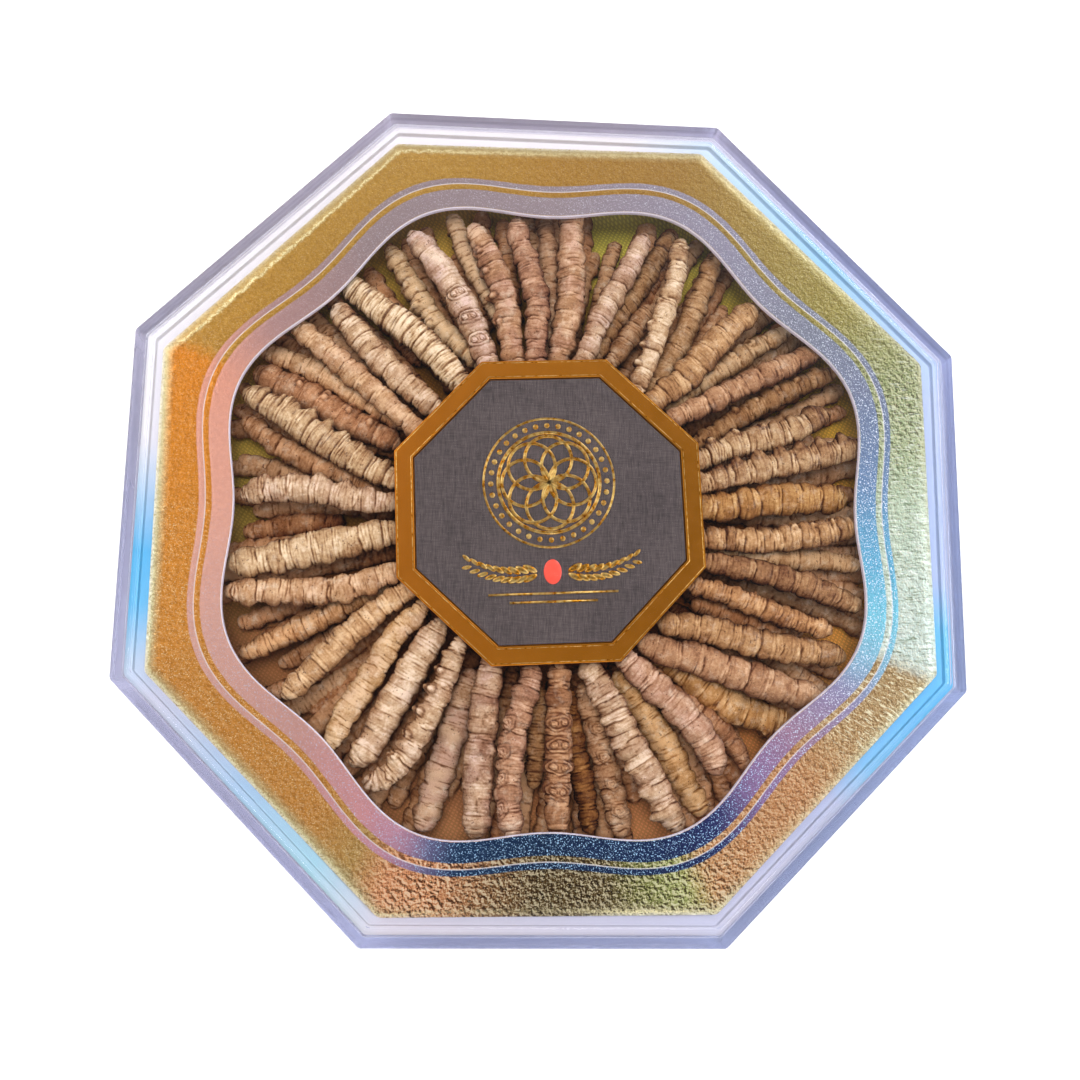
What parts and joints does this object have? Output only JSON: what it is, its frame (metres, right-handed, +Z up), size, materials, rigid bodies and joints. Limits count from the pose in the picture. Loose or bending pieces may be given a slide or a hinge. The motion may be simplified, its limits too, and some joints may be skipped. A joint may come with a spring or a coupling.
{
  "type": "dried cordyceps in a display box",
  "caption": "Dried cordyceps laid out as spokes round an octagonal label, on a satin cushion under a gold mat with a wavy window, in a clear octagonal gift box.",
  "frame": {"origin": "middle of the tray's underside, where the closed box rests", "axes": "+Z up through the lid, +X and +Y across two pairs of the octagon's flats; the label reads upright seen from above with +Y away from the reader"},
  "size_m": [0.2, 0.2, 0.032],
  "materials": {
    "clear_plastic": "clear moulded plastic, polished",
    "gold_foil": "gold foil over card, embossed like leather, with a pearly band along the window",
    "label_gold": "copper-gold foil, smooth",
    "label_dark": "dark, fine linen weave",
    "satin": "golden green woven satin over foam",
    "cordyceps_pale": "dry, finely ringed, cream",
    "cordyceps_tan": "dry, finely ringed, tan",
    "cordyceps_rosy": "dry, finely ringed, pinkish",
    "cordyceps_golden": "dry, finely ringed, golden",
    "cordyceps_brown": "dry, finely ringed, brown"
  },
  "bodies": {
    "root": {"base_tray": "clear_plastic", "lid": "clear_plastic", "cushion": "satin", "lower_cordyceps": "cordyceps_brown", "label_plate": "label_gold", "label_panel": "label_dark", "gold_mat": "gold_foil", "cordyceps_01": "cordyceps_pale", "cordyceps_02": "cordyceps_tan", "cordyceps_03": "cordyceps_tan", "cordyceps_04": "cordyceps_tan", "cordyceps_05": "cordyceps_rosy", "cordyceps_06": "cordyceps_tan", "cordyceps_07": "cordyceps_pale", "cordyceps_08": "cordyceps_pale", "cordyceps_09": "cordyceps_golden", "cordyceps_10": "cordyceps_tan", "cordyceps_11": "cordyceps_tan", "cordyceps_12": "cordyceps_pale", "cordyceps_13": "cordyceps_tan", "cordyceps_14": "cordyceps_brown", "cordyceps_15": "cordyceps_tan", "cordyceps_16": "cordyceps_rosy", "cordyceps_17": "cordyceps_golden", "cordyceps_18": "cordyceps_rosy", "cordyceps_19": "cordyceps_rosy", "cordyceps_20": "cordyceps_golden", "cordyceps_21": "cordyceps_pale", "cordyceps_22": "cordyceps_brown", "cordyceps_23": "cordyceps_golden", "cordyceps_24": "cordyceps_brown", "cordyceps_25": "cordyceps_tan", "cordyceps_26": "cordyceps_rosy", "cordyceps_27": "cordyceps_pale", "cordyceps_28": "cordyceps_tan", "cordyceps_29": "cordyceps_pale", "cordyceps_30": "cordyceps_pale", "cordyceps_31": "cordyceps_golden", "cordyceps_32": "cordyceps_tan", "cordyceps_33": "cordyceps_tan", "cordyceps_34": "cordyceps_tan", "cordyceps_35": "cordyceps_pale", "cordyceps_36": "cordyceps_pale", "cordyceps_37": "cordyceps_brown", "cordyceps_38": "cordyceps_pale", "cordyceps_39": "cordyceps_rosy", "cordyceps_40": "cordyceps_pale", "cordyceps_41": "cordyceps_tan", "cordyceps_42": "cordyceps_pale", "cordyceps_43": "cordyceps_pale", "cordyceps_44": "cordyceps_tan", "cordyceps_45": "cordyceps_pale", "cordyceps_46": "cordyceps_tan", "cordyceps_47": "cordyceps_tan", "cordyceps_48": "cordyceps_rosy", "cordyceps_49": "cordyceps_brown", "cordyceps_50": "cordyceps_tan", "cordyceps_51": "cordyceps_pale", "cordyceps_52": "cordyceps_tan", "cordyceps_53": "cordyceps_brown"}
  },
  "joints": []
}
